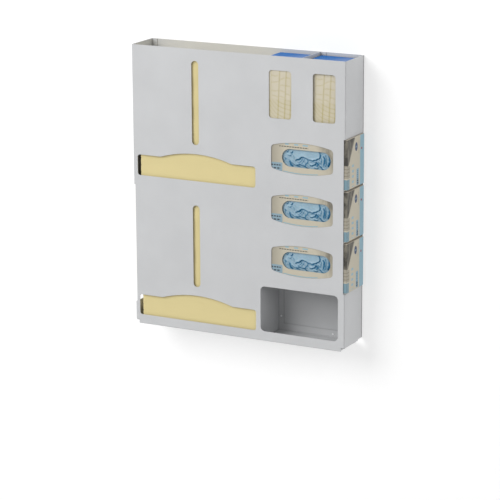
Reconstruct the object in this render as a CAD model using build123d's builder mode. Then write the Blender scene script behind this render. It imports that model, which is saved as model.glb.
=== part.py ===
from build123d import *
import os
from math import radians, tan

# Wall dispenser for gowns, gloves and masks, folded from white powder-coated steel sheet.
#
# One front shell carries every window and folds round the sides and the underside. A flat back
# panel closes it and screws to the wall. Two dividers and five shelves are fixed inside, and
# the cartons, masks and folded gowns that the dispenser holds stand on them.
#
# Frame: origin at the centre of the four wall-screw holes, on the wall face. +X is to the right
# as one faces the front, +Y goes into the wall and +Z is up. All sizes are in millimetres.

os.makedirs("parts", exist_ok=True)

# ---------------------------------------------------------------- driving dimensions
# Sheet
sheet = 1.5  # thickness of every steel sheet
bend = 1.5  # inside radius of every bend
fit = 0.2  # clearance of a sheet's edge beside another sheet

# Bays
gown_bay_width = 358.0  # clear, left wall to gown divider
carton_bay_width = 231.5  # clear, gown divider to right wall
depth = 104.7  # front face to wall face
cubby_height = 150.4  # underside to the top of the cubby's ceiling
carton_pitch = 130.2  # one carton shelf to the next
carton_rows = 3
mask_bay_height = 187.0  # mask shelf to rim
gown_rim_step = 9.0  # the upper gown bay is this much shorter than the lower one

# Wall screws
screw_spacing_x = 232.0
screw_spacing_z = 430.0
screw_hole = 6.5  # diameter
screw_centre_height = 432.5  # pattern centre above the underside

# Gown apertures: a low rectangle whose top edge rises in a shallow arch
aperture_left_edge = 12.2  # from the left face
aperture_right_edge = 10.7  # from the gown divider
aperture_sill = 23.0  # above the shelf
aperture_height = 53.6
aperture_corner = 7.0
arch_chord = 202.0
arch_rise = 16.0

# Sight slots above the gown apertures
slot_width = 20.0
slot_start = 115.7  # above the shelf
slot_end = 39.6  # below the next shelf's level

# Glove windows: both long edges bow outward
window_width = 168.8
window_side = 57.7  # height at the sides
window_bow = 10.9
window_corner = 10.0
window_centre = 67.0  # above the shelf

# Mask windows
mask_window_width = 60.9
mask_window_pitch = 119.1
mask_window_sill = 32.4  # above the mask shelf
mask_window_head = 35.5  # below the rim
mask_window_corner = 8.0

# Cubby opening
cubby_left_edge = 0.5  # from the gown divider
cubby_right_edge = 16.3  # from the right wall
cubby_sill = 23.9  # above the floor
cubby_head = 6.2  # below the ceiling
cubby_corner = 12.0

# Side cut-outs, which run from just inside the front bend to the back panel
cut_past_bend = 1.5
left_cut_sill = 57.7  # above the underside
left_cut_head = 0.8  # below the gown shelf
right_cut_sill = 0.9  # below the cubby's ceiling
right_cut_head = 3.0  # below the mask shelf

# Folded lower corners
corner_width = 9.7
corner_height = 10.4
wall_rear_height = 12.3  # side walls behind their tabs, above the underside
tab_end = 80.5  # rear end of the side walls' tabs behind the front face
tab_height = 8.0  # underside of the side walls' tabs above the underside
tab_reach = 16.0  # in from the side faces
floor_inset = 12.0  # side edges of the floor in from the side faces
rear_corner_width = 20.7
rear_corner_depth = 10.0
rear_flange_height = 20.0
back_corner_width = 13.5  # cut from the back panel's lower corners

# Flanges
return_flange = 16.0  # rear return flanges of the side walls
divider_flange = 16.5  # rear flanges of the dividers
divider_lip = 8.0  # front flanges of the dividers
divider_foot = 8.5  # foot of the mask divider
divider_drop = 30.0  # top of the gown divider below the rim
foot_inset = 12.0  # ends of the mask divider's foot, from its front and rear
tray_flange = 15.0  # turned-up edges of the shelves

# Rivets: countersunk in the back panel, with low heads inside
rivet_hole = 3.3
rivet_play = 0.1
rivet_head = 5.6
rivet_head_angle = 82.0
rivet_inner_head = 5.2
rivet_inner_height = 1.1
rivet_line = 8.3  # rivets in from the fold of an upright flange
bottom_rivet_inset = 79.2  # outer rivets of the floor's flange, from the side faces

# Contents
board = 1.0  # carton board
carton_front_gap = 0.5  # cartons behind the front panel
glove_carton_length = 236.0
glove_carton_headroom = 3.7
glove_carton_left_gap = 1.4
glove_carton_rear_gap = 3.4
glove_opening_length = 132.5
glove_opening_height = 44.4
glove_opening_shift = 7.4  # to the right of the carton's middle
glove_opening_rise = 4.4  # above the carton's middle
glove_inset = 4.0  # gloves behind the carton's front
glove_headroom = 8.0
mask_carton_width = 98.0
mask_carton_depth = 94.7
mask_carton_height = 179.0
mask_carton_shift = (0.0, -5.5)  # of the two cartons from the middles of their bays
mask_opening_width = 80.0
mask_opening_sill = 19.0
mask_opening_height = 145.0
mask_opening_corner = 6.0
mask_inset = 5.0
mask_headroom = 9.0
gown_side_gap = 16.0  # gowns to the left wall
gown_divider_gap = 4.5
gown_front_gap = 3.0
gown_rear_gap = 5.2
gown_height = 335.0
content_play = 0.5  # contents inside their cartons

# ---------------------------------------------------------------- levels and faces
width = gown_bay_width + carton_bay_width + 3 * sheet
height = cubby_height + carton_rows * carton_pitch + mask_bay_height
left = -width / 2
right = width / 2
underside = -screw_centre_height
rim = underside + height
floor_top = underside + sheet

front = -depth
inner_front = front + sheet
inner_back = -sheet
flange_mid = inner_back - sheet / 2
flange_front = inner_back - sheet
corner_relief = bend + fit

divider_left = left + sheet + gown_bay_width
divider_right = divider_left + sheet
bay_middle = (divider_right + right - sheet) / 2
mask_divider_left = bay_middle - sheet / 2
mask_divider_right = bay_middle + sheet / 2

cubby_top = underside + cubby_height
carton_shelf_tops = [cubby_top + row * carton_pitch for row in range(carton_rows)]
mask_shelf_top = cubby_top + carton_rows * carton_pitch
gown_pitch = (height + gown_rim_step) / 2
gown_shelf_top = floor_top + gown_pitch
gown_levels = [floor_top, gown_shelf_top]
gown_middle = (left + aperture_left_edge + divider_left - aperture_right_edge) / 2

# Rivets, as points (x, z). The shelves are spot-welded to the back panel.
shell_points = [(side * (width / 2 - bottom_rivet_inset), underside + 10.0) for side in (-1, 0, 1)]
shell_points += [(side * (right - rivet_line), rim - 28.0) for side in (-1, 1)]
divider_points = [
    (divider_right + rivet_line, underside + 39.5),
    (divider_right + rivet_line, mask_shelf_top + 79.0),
    (mask_divider_right + rivet_line, mask_shelf_top + 79.0),
]


# ---------------------------------------------------------------- shared shapes
def folded(plane, *points):
    """Section of a sheet folded along its mid-line, with the same radius at every bend."""
    with BuildSketch(plane) as section:
        with BuildLine():
            FilletPolyline(*points, radius=bend + sheet / 2)
        trace(line_width=sheet)
    return section.sketch


def panel(plane, x0, x1, y0, y1, corner=0.0):
    """Rectangle between two corners of a plane, with its own corner radius."""
    with BuildSketch(plane) as outline:
        with Locations(((x0 + x1) / 2, (y0 + y1) / 2)):
            if corner:
                RectangleRounded(x1 - x0, y1 - y0, corner)
            else:
                Rectangle(x1 - x0, y1 - y0)
    return outline.sketch


def drilled(points):
    """Places on the wall side of a riveted flange, looking along +Y."""
    return [Location((x, inner_back, z), (-90, 0, 0)) for x, z in points]


front_plane = Plane.XZ.offset(depth)


def gown_aperture(level):
    """Low rectangle with a shallow arch in its top edge."""
    x0 = left + aperture_left_edge
    x1 = divider_left - aperture_right_edge
    z0 = level + aperture_sill
    z1 = z0 + aperture_height
    arch_left = (gown_middle - arch_chord / 2, z1)
    arch_right = (gown_middle + arch_chord / 2, z1)
    with BuildSketch(front_plane) as outline:
        with BuildLine():
            Polyline(arch_left, (x0, z1), (x0, z0), (x1, z0), (x1, z1), arch_right)
            SagittaArc(arch_right, arch_left, -arch_rise)
        make_face()
        corners = [v for v in outline.vertices() if abs(v.X - gown_middle) > arch_chord / 2 + fit]
        fillet(corners, radius=aperture_corner)
    return outline.sketch


def sight_slot(level):
    """Full-round upright slot."""
    z0 = level + slot_start
    z1 = level + gown_pitch - slot_end
    with BuildSketch(front_plane) as outline:
        with Locations((gown_middle, (z0 + z1) / 2)):
            SlotOverall(z1 - z0, slot_width, rotation=90)
    return outline.sketch


def glove_window(top):
    """Window whose long edges bow outward, over one glove carton."""
    x0 = bay_middle - window_width / 2
    x1 = bay_middle + window_width / 2
    z0 = top + window_centre - window_side / 2
    z1 = z0 + window_side
    with BuildSketch(front_plane) as outline:
        with BuildLine():
            Line((x0, z0), (x0, z1))
            SagittaArc((x0, z1), (x1, z1), window_bow)
            Line((x1, z1), (x1, z0))
            SagittaArc((x1, z0), (x0, z0), window_bow)
        make_face()
        fillet(outline.vertices(), radius=window_corner)
    return outline.sketch


def mask_window(side):
    """Upright window of one mask bay; side is -1 or 1."""
    middle = bay_middle + side * mask_window_pitch / 2
    return panel(
        front_plane,
        middle - mask_window_width / 2,
        middle + mask_window_width / 2,
        mask_shelf_top + mask_window_sill,
        rim - mask_window_head,
        mask_window_corner,
    )


cubby_opening = panel(
    front_plane,
    divider_right + cubby_left_edge,
    right - sheet - cubby_right_edge,
    floor_top + cubby_sill,
    cubby_top - sheet - cubby_head,
    cubby_corner,
)
windows = [gown_aperture(level) for level in gown_levels]
windows += [sight_slot(level) for level in gown_levels]
windows += [glove_window(top) for top in carton_shelf_tops]
windows += [mask_window(side) for side in (-1, 1)]
windows += [cubby_opening]

# ---------------------------------------------------------------- front shell
front_mid = front + sheet / 2
floor_mid = underside + sheet / 2
tab_front = inner_front + corner_relief
tab_rear = front + tab_end
riser_front = tab_front + sheet

# Rear return flanges, side walls and front, seen from above
wall_section = folded(
    Plane.XY.offset(underside + corner_height),
    (left + return_flange, flange_mid),
    (left + sheet / 2, flange_mid),
    (left + sheet / 2, front_mid),
    (right - sheet / 2, front_mid),
    (right - sheet / 2, flange_mid),
    (right - return_flange, flange_mid),
)
# Front edge and floor, seen from the right
floor_section = folded(
    Plane.YZ.offset(left + corner_width),
    (front_mid, underside + corner_height + sheet),
    (front_mid, floor_mid),
    (-rear_corner_depth, floor_mid),
)
# Floor and its rear flange
rear_section = folded(
    Plane.YZ.offset(left + rear_corner_width),
    (front / 2, floor_mid),
    (flange_mid, floor_mid),
    (flange_mid, underside + rear_flange_height),
)


def corner_tab(side):
    """Sections of a side wall's tab and of the floor's turned-up end below it."""
    face = side * width / 2
    tab_mid = underside + tab_height + sheet / 2
    end = face - side * (floor_inset + sheet / 2)
    tab = folded(
        Plane.XZ.offset(-tab_rear),
        (face - side * sheet / 2, underside + wall_rear_height),
        (face - side * sheet / 2, tab_mid),
        (face - side * tab_reach, tab_mid),
    )
    riser = folded(
        Plane.XZ.offset(-tab_rear),
        (end - side * 3 * bend, floor_mid),
        (end, floor_mid),
        (end, underside + tab_height),
    )
    return tab, riser


def side_cut(side, z0, z1):
    """Flat cut through one side wall, its front bend and its rear return flange."""
    face = side * width / 2
    at_front = face - side * (sheet + bend + cut_past_bend)
    at_rear = face - side * (return_flange + fit)
    outside = face + side * sheet
    with BuildSketch(Plane.XY.offset(z0)) as outline:
        with BuildLine():
            Polyline(
                (outside, front - sheet),
                (at_front, front - sheet),
                (at_front, flange_front - bend),
                (at_rear, flange_front - bend),
                (at_rear, 0),
                (outside, 0),
                close=True,
            )
        make_face()
    return outline.sketch, z1 - z0


def corner_panel(side, z, outer, inner, y0, y1):
    """Rectangle between two distances in from a side face."""
    face = side * width / 2
    x0, x1 = sorted((face - side * outer, face - side * inner))
    return panel(Plane.XY.offset(z), x0, x1, y0, y1)


tabs = [corner_tab(side) for side in (-1, 1)]
riser_fold = floor_inset + sheet + bend + fit
floor_reliefs = [
    corner_panel(side, underside, corner_width - fit, inner, y0, y1)
    for side in (-1, 1)
    for inner, y0, y1 in ((floor_inset, tab_front, 0), (riser_fold, tab_front, tab_rear + sheet))
]
wall_reliefs = [
    corner_panel(side, underside + corner_height, -fit, return_flange + fit, tab_front, 0)
    for side in (-1, 1)
]
left_cut = side_cut(-1, underside + left_cut_sill, gown_shelf_top - sheet - left_cut_head)
right_cut = side_cut(
    1, cubby_top - sheet - right_cut_sill, mask_shelf_top - sheet - right_cut_head
)

with BuildPart() as front_shell:
    extrude(wall_section, amount=height - corner_height)
    extrude(floor_section, amount=width - 2 * corner_width)
    extrude(rear_section, amount=width - 2 * rear_corner_width)
    for relief in floor_reliefs:
        extrude(relief, amount=sheet, mode=Mode.SUBTRACT)
    for relief in wall_reliefs:
        extrude(relief, amount=wall_rear_height - corner_height, mode=Mode.SUBTRACT)
    for tab, riser in tabs:
        extrude(tab, amount=tab_rear - tab_front)
        extrude(riser, amount=tab_rear - riser_front)
    for outline, tall in (left_cut, right_cut):
        extrude(outline, amount=tall, mode=Mode.SUBTRACT)
    for window in windows:
        extrude(window, amount=-sheet, mode=Mode.SUBTRACT)
    with Locations(*drilled(shell_points)):
        Hole(rivet_hole / 2, depth=sheet)

# ---------------------------------------------------------------- back panel
screw_places = [
    Location((x, 0, z), (-90, 0, 0))
    for x in (-screw_spacing_x / 2, screw_spacing_x / 2)
    for z in (-screw_spacing_z / 2, screw_spacing_z / 2)
]
rivet_places = [
    Location((x, 0, z), (-90, 0, 0)) for x, z in shell_points + divider_points
]
back_outline = panel(Plane.XZ, left, right, underside, rim)
back_corners = [
    panel(Plane.XZ, x, x + back_corner_width, underside, underside + wall_rear_height)
    for x in (left, right - back_corner_width)
]

with BuildPart() as back_panel:
    extrude(back_outline, amount=sheet)
    for corner in back_corners:
        extrude(corner, amount=sheet, mode=Mode.SUBTRACT)
    with Locations(*screw_places):
        Hole(screw_hole / 2, depth=sheet)
    with Locations(*rivet_places):
        CounterSinkHole(rivet_hole / 2, rivet_head / 2, sheet, rivet_head_angle)

# ---------------------------------------------------------------- dividers
lip_mid = inner_front + sheet / 2


def divider_section(x0, z0):
    """Lip to the left at the front, web, and flange to the right at the rear, from above."""
    web = x0 + sheet / 2
    return folded(
        Plane.XY.offset(z0),
        (x0 + sheet - divider_lip, lip_mid),
        (web, lip_mid),
        (web, flange_mid),
        (x0 + divider_flange, flange_mid),
    )


def rear_notch(x0, z0):
    """Clears the turned-up rear flange of the sheet below a divider."""
    return panel(
        Plane.XY.offset(z0), x0 - fit, x0 + divider_flange + fit, flange_front - corner_relief, 0
    )


def front_notch(x0, z0):
    """Clears the bend between the front and the floor."""
    return panel(
        Plane.XY.offset(z0), x0 - divider_lip, x0 + 2 * sheet, front, inner_front + corner_relief
    )


divider_base = floor_top + fit
gown_divider_section = divider_section(divider_left, divider_base)
gown_divider_rear_notch = rear_notch(divider_left, divider_base)
gown_divider_front_notch = front_notch(divider_left, divider_base)

with BuildPart() as gown_divider:
    extrude(gown_divider_section, amount=rim - divider_drop - divider_base)
    extrude(
        gown_divider_rear_notch,
        amount=underside + rear_flange_height + fit - divider_base,
        mode=Mode.SUBTRACT,
    )
    extrude(gown_divider_front_notch, amount=corner_relief, mode=Mode.SUBTRACT)
    with Locations(*drilled(divider_points[:2])):
        Hole(rivet_hole / 2, depth=sheet)

mask_divider_base = mask_shelf_top + sheet + bend
mask_divider_section = divider_section(mask_divider_left, mask_divider_base)
mask_divider_notch = rear_notch(mask_divider_left, mask_shelf_top)
mask_divider_foot = folded(
    Plane.XZ.offset(-(flange_front - foot_inset)),
    (mask_divider_left + sheet / 2, mask_divider_base + sheet),
    (mask_divider_left + sheet / 2, mask_shelf_top + sheet / 2),
    (mask_divider_right - divider_foot, mask_shelf_top + sheet / 2),
)

with BuildPart() as mask_divider:
    extrude(mask_divider_section, amount=rim - mask_divider_base)
    extrude(mask_divider_foot, amount=flange_front - inner_front - 2 * foot_inset)
    extrude(mask_divider_notch, amount=tray_flange + fit, mode=Mode.SUBTRACT)
    with Locations(*drilled(divider_points[2:])):
        Hole(rivet_hole / 2, depth=sheet)

# ---------------------------------------------------------------- shelves
plate_front = inner_front + fit
plate_rear = flange_front - fit
lip_back = inner_front + sheet


def corner_cut(top, x, y, reach_x=corner_relief, reach_y=corner_relief):
    """Relief that reaches this far into a shelf from its corner at (x, y)."""
    return panel(Plane.XY.offset(top - sheet), x - reach_x, x + reach_x, y - reach_y, y + reach_y)


def flat_plate(top, x0, x1):
    """Plate with open ends."""
    return panel(Plane.XY.offset(top - sheet), x0, x1, plate_front, plate_rear), sheet


def sided_plate(top, x0, x1):
    """Plate with both ends turned up, seen from the front."""
    section = folded(
        Plane.XZ.offset(-plate_rear),
        (x0 + sheet / 2, top + tray_flange),
        (x0 + sheet / 2, top - sheet / 2),
        (x1 - sheet / 2, top - sheet / 2),
        (x1 - sheet / 2, top + tray_flange),
    )
    return section, plate_rear - plate_front


def shelf_tray(top, plate, rear_x0, rear_x1, reliefs):
    """Shelf with a turned-up rear flange, relieved where it meets the bends around it."""
    section, plate_length = plate
    rear_section = folded(
        Plane.YZ.offset(rear_x0),
        (front / 2, top - sheet / 2),
        (flange_mid, top - sheet / 2),
        (flange_mid, top + tray_flange),
    )
    with BuildPart() as shelf:
        extrude(section, amount=plate_length)
        extrude(rear_section, amount=rear_x1 - rear_x0)
        for relief in reliefs:
            extrude(relief, amount=sheet + tray_flange, mode=Mode.SUBTRACT)
    return shelf


gown_shelf_x0 = left + sheet + fit
gown_shelf_x1 = divider_left - fit
gown_shelf = shelf_tray(
    gown_shelf_top,
    sided_plate(gown_shelf_top, gown_shelf_x0, gown_shelf_x1),
    left + return_flange + fit,
    gown_shelf_x1 - corner_relief,
    [
        corner_cut(gown_shelf_top, gown_shelf_x0, plate_front),
        corner_cut(gown_shelf_top, gown_shelf_x0, plate_rear),
        corner_cut(
            gown_shelf_top,
            gown_shelf_x1,
            plate_front,
            divider_lip - sheet,
            lip_back + corner_relief - plate_front,
        ),
    ],
)

right_shelf_x0 = divider_right + fit
right_rear_x0 = divider_left + divider_flange + fit
right_rear_x1 = right - return_flange - fit
mask_shelf_x1 = right - sheet - fit
mask_shelf = shelf_tray(
    mask_shelf_top,
    sided_plate(mask_shelf_top, right_shelf_x0, mask_shelf_x1),
    right_rear_x0,
    right_rear_x1,
    [
        corner_cut(mask_shelf_top, x, y)
        for x, y in (
            (right_shelf_x0, plate_rear),
            (mask_shelf_x1, plate_rear),
            (mask_shelf_x1, plate_front),
        )
    ],
)
cubby_ceiling, carton_shelf_lower, carton_shelf_upper = [
    shelf_tray(
        top,
        flat_plate(top, right_shelf_x0, right - sheet),
        right_rear_x0,
        right_rear_x1,
        [corner_cut(top, right_shelf_x0, plate_rear)],
    )
    for top in carton_shelf_tops
]


# ---------------------------------------------------------------- rivets
def rivet_section():
    """Half section of a rivet: countersunk head on the wall face, low head on the flange."""
    shank = (rivet_hole - rivet_play) / 2
    head = (rivet_head - rivet_play) / 2
    taper = (head - shank) / tan(radians(rivet_head_angle / 2))
    inner_face = -2 * sheet
    inner_top = inner_face - rivet_inner_height
    with BuildSketch(Plane.XY) as section:
        with BuildLine():
            Polyline(
                (0, 0),
                (head, 0),
                (shank, -taper),
                (shank, inner_face),
                (rivet_inner_head / 2, inner_face),
                (rivet_inner_head / 2, inner_top),
                (0, inner_top),
                close=True,
            )
        make_face()
    return section.sketch


rivet_outline = rivet_section()

with BuildPart() as rivet:
    revolve(rivet_outline, axis=Axis.Y)


with BuildPart() as shell_rivets:
    with Locations(*[(x, 0, z) for x, z in shell_points]):
        add(rivet.part)

with BuildPart() as divider_rivets:
    with Locations(*[(x, 0, z) for x, z in divider_points]):
        add(rivet.part)

# ---------------------------------------------------------------- cartons and contents
def board_carton(x0, x1, y0, y1, z0, z1, opening):
    """Hollow carton of thin board with one opening in its front."""
    outside = panel(Plane.XY.offset(z0), x0, x1, y0, y1)
    inside = panel(
        Plane.XY.offset(z0 + board), x0 + board, x1 - board, y0 + board, y1 - board
    )
    with BuildPart() as carton:
        extrude(outside, amount=z1 - z0)
        extrude(inside, amount=z1 - z0 - 2 * board, mode=Mode.SUBTRACT)
        extrude(opening, amount=-board, mode=Mode.SUBTRACT)
    return carton


def soft_block(x0, x1, y0, y1, z0, z1):
    """Plain block of soft contents."""
    outline = panel(Plane.XY.offset(z0), x0, x1, y0, y1)
    with BuildPart() as block:
        extrude(outline, amount=z1 - z0)
    return block


glove_carton_left = divider_right + glove_carton_left_gap
glove_carton_right = glove_carton_left + glove_carton_length
glove_carton_front = inner_front + carton_front_gap
glove_carton_rear = inner_back - glove_carton_rear_gap
glove_carton_height = carton_pitch - sheet - glove_carton_headroom
glove_opening_x = (glove_carton_left + glove_carton_right) / 2 + glove_opening_shift


def glove_carton(top):
    """Carton of gloves lying on a shelf, with an oval opening behind the window."""
    with BuildSketch(Plane.XZ.offset(-glove_carton_front)) as oval:
        with Locations((glove_opening_x, top + glove_carton_height / 2 + glove_opening_rise)):
            SlotOverall(glove_opening_length, glove_opening_height)
    return board_carton(
        glove_carton_left,
        glove_carton_right,
        glove_carton_front,
        glove_carton_rear,
        top,
        top + glove_carton_height,
        oval.sketch,
    )


def glove_bundle(top):
    """Gloves packed in a carton."""
    wall = board + content_play
    return soft_block(
        glove_carton_left + wall,
        glove_carton_right - wall,
        glove_carton_front + glove_inset,
        glove_carton_rear - wall,
        top + board,
        top + glove_carton_height - glove_headroom,
    )


glove_tops = carton_shelf_tops[::-1]
glove_cartons = [glove_carton(top) for top in glove_tops]
glove_bundles = [glove_bundle(top) for top in glove_tops]

mask_bays = [
    (divider_right + mask_divider_left) / 2,
    (mask_divider_right + right - sheet) / 2,
]
mask_fronts = [
    inner_front + carton_front_gap,
    flange_front - corner_relief - mask_carton_depth,
]
mask_places = [
    (middle + shift - mask_carton_width / 2, y0)
    for middle, shift, y0 in zip(mask_bays, mask_carton_shift, mask_fronts)
]


def mask_carton(x0, y0):
    """Upright carton of masks, open in most of its front."""
    side = (mask_carton_width - mask_opening_width) / 2
    z0 = mask_shelf_top + mask_opening_sill
    opening = panel(
        Plane.XZ.offset(-y0),
        x0 + side,
        x0 + mask_carton_width - side,
        z0,
        z0 + mask_opening_height,
        mask_opening_corner,
    )
    return board_carton(
        x0,
        x0 + mask_carton_width,
        y0,
        y0 + mask_carton_depth,
        mask_shelf_top,
        mask_shelf_top + mask_carton_height,
        opening,
    )


def mask_stack(x0, y0):
    """Masks standing on edge in their carton."""
    wall = board + content_play
    return soft_block(
        x0 + wall,
        x0 + mask_carton_width - wall,
        y0 + mask_inset,
        y0 + mask_carton_depth - wall,
        mask_shelf_top + board,
        mask_shelf_top + mask_carton_height - mask_headroom,
    )


mask_cartons = [mask_carton(*place) for place in mask_places]
mask_stacks = [mask_stack(*place) for place in mask_places]


def gown_stack(level):
    """Folded gowns piled on a level of the gown bay."""
    return soft_block(
        left + sheet + gown_side_gap,
        divider_left - gown_divider_gap,
        inner_front + gown_front_gap,
        inner_back - gown_rear_gap,
        level,
        level + gown_height,
    )


gown_stacks = [gown_stack(level) for level in gown_levels[::-1]]

# ---------------------------------------------------------------- labels and files
pieces = {
    "front_shell": front_shell,
    "back_panel": back_panel,
    "gown_divider": gown_divider,
    "mask_divider": mask_divider,
    "gown_shelf": gown_shelf,
    "mask_shelf": mask_shelf,
    "carton_shelf_upper": carton_shelf_upper,
    "carton_shelf_lower": carton_shelf_lower,
    "cubby_ceiling": cubby_ceiling,
    "shell_rivets": shell_rivets,
    "divider_rivets": divider_rivets,
}
for group, members in (
    ("glove_carton", glove_cartons),
    ("glove_bundle", glove_bundles),
    ("mask_carton", mask_cartons),
    ("mask_stack", mask_stacks),
    ("gown_stack", gown_stacks),
):
    for number, member in enumerate(members, start=1):
        pieces[f"{group}_{number}"] = member

for name, piece in pieces.items():
    piece.part.label = name
    export_step(piece.part, f"parts/{name}.step")
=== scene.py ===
"""Finishes, contents and studio for a wall dispenser of gowns, gloves and masks.

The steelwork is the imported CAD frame, which gets its powder coat here. The cartons, gloves,
masks and folded gowns that it holds are surfaces worked out with numpy, and stand where the
frame's plain solids stand. Everything is in metres, in the frame's own axes: +X to the right
as one faces the front, +Y into the wall, +Z up.
"""

import math

import bmesh
import bpy
import numpy as np
from bpy.props import FloatProperty, FloatVectorProperty, IntProperty, PointerProperty
from mathutils import Matrix, Vector


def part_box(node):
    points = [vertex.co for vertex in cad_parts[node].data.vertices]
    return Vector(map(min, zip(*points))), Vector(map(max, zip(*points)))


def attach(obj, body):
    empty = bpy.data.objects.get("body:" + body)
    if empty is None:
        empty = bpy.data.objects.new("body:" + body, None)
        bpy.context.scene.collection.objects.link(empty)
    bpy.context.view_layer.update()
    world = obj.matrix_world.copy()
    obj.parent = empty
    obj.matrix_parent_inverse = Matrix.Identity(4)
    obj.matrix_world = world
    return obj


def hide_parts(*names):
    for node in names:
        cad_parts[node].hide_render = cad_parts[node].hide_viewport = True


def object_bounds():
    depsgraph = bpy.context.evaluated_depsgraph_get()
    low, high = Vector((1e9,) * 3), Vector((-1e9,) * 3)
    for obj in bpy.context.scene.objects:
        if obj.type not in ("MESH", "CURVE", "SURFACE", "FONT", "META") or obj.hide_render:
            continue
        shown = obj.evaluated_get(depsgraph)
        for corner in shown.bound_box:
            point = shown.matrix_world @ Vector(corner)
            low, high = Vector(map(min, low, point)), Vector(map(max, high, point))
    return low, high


bl_info = {
    "name": "Wall Dispenser",
    "version": (1, 0, 0),
    "blender": (4, 5, 0),
    "location": "View3D > Sidebar > Dispenser",
    "description": "Dresses a steel wall dispenser with its cartons, masks and gowns",
    "category": "Object",
}

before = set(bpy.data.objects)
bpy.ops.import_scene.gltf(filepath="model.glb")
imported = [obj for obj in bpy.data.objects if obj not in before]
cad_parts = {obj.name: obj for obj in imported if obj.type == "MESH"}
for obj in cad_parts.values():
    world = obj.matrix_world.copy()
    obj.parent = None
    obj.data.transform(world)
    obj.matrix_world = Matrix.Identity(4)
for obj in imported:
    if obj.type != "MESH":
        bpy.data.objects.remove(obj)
CAD_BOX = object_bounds()
ROOT = "root"
MM = 0.001

STEEL_NODES = (
    "front_shell",
    "back_panel",
    "gown_divider",
    "mask_divider",
    "gown_shelf",
    "mask_shelf",
    "carton_shelf_upper",
    "carton_shelf_lower",
    "cubby_ceiling",
)
RIVET_NODES = ("shell_rivets", "divider_rivets")
GLOVE_ROWS = (1, 2, 3)
MASK_BAYS = (1, 2)
GOWN_LEVELS = (1, 2)

# Wall, floor and lamps, in metres; the paints are shares of white
FLOOR_SIDE = 12.0
FLOOR_PAINT = 0.62
WALL_WIDTH = 8.0
WALL_HEIGHT = 4.0
WALL_GAP = 0.6 * MM
WALL_PAINT = 0.55
KEY_PLACE = (-2.4, -4.0, 2.85)
FILL_PLACE = (3.5, -1.9, 1.7)
FILL_SIZE = 2.0

# Width of the camera's sensor, in millimetres
SENSOR = 36.0


# ---------------------------------------------------------------- settings
def colour(name, default, description):
    return FloatVectorProperty(
        name=name, default=default, description=description, subtype="COLOR", min=0.0, max=1.0
    )


def length(name, default, description):
    return FloatProperty(
        name=name, default=default, description=description, subtype="DISTANCE", unit="LENGTH"
    )


def factor(name, default, description):
    return FloatProperty(name=name, default=default, description=description, subtype="FACTOR")


class SteelSettings(bpy.types.PropertyGroup):
    """Powder coat of the steelwork."""

    coat: colour("Coat", (0.575, 0.582, 0.591), "Colour of the powder coat")
    rivet: colour("Rivets", (0.90, 0.90, 0.91), "Colour of the rivet heads")
    # The next three settings paint shade into the coat: inside the housing, along the bends, and in
    # corners and along flanges
    painted_inside_shade: factor("Thin coat", 0.92, "Brightness of the coat inside, where it lies thinner")
    bend: factor("Bends", 0.88, "Brightness of the coat along the bends")
    corner_shade_reach: length("Joint", 5.0 * MM, "Width of the darker coat in corners and along flanges")
    roughness: factor("Roughness", 0.46, "Roughness of the coat")
    grain: length("Grain", 1.1 * MM, "Size of the coat's orange-peel texture")


class CartonSettings(bpy.types.PropertyGroup):
    """Printed board of the glove cartons."""

    board: colour("Board", (0.56, 0.515, 0.41), "Beige print of the cartons")
    band: colour("Band", (0.29, 0.47, 0.56), "Dull teal bands")
    square: colour("Square", (0.1914, 0.3102, 0.3696), "Darker teal of the corner square")
    label: colour("Label", (0.26, 0.38, 0.45), "Pale blue label of the front")
    end_label: colour("End label", (0.25, 0.42, 0.54), "Pale blue label of the ends")
    ink: colour("Ink", (0.045, 0.06, 0.08), "Dark marks on the labels")
    shade: colour("Shade", (0.07, 0.065, 0.052), "Dark taupe of the shaded fields")
    disc: colour("Disc", (0.05, 0.075, 0.15), "Dark blue oval of the ends")
    dot: colour("Dot", (0.30, 0.07, 0.10), "Small dark red oval on the band")
    bare: colour("Bare board", (0.55, 0.50, 0.42), "Unprinted inside of the board")
    thickness: length("Board thickness", 1.0 * MM, "Thickness of the board")
    edge: length("Edge", 0.9 * MM, "Rounding of the carton's edges")
    oval_length: length("Oval length", 132.5 * MM, "Length of the opening")
    oval_height: length("Oval height", 44.4 * MM, "Height of the opening")
    oval_shift: length("Oval shift", 7.4 * MM, "Opening to the right of the carton's middle")
    oval_rise: length("Oval rise", 4.4 * MM, "Opening above the carton's middle")


class GloveSettings(bpy.types.PropertyGroup):
    """Thin gloves packed in a carton."""

    film: colour("Film", (0.31, 0.455, 0.55), "Colour of one layer of glove")
    # Colour of overlapping layers, also the painted shade in the creases and wrinkles
    overlap_and_crease_shade: colour("Folds", (0.002, 0.115, 0.235), "Colour in the folds, where layers overlap")
    fold_depth: length("Fold depth", 2.2 * MM, "Height of the overlapping folds")
    columns: IntProperty(name="Columns", default=300, description="Grid columns", min=40)
    rows: IntProperty(name="Rows", default=130, description="Grid rows", min=20)


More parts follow.
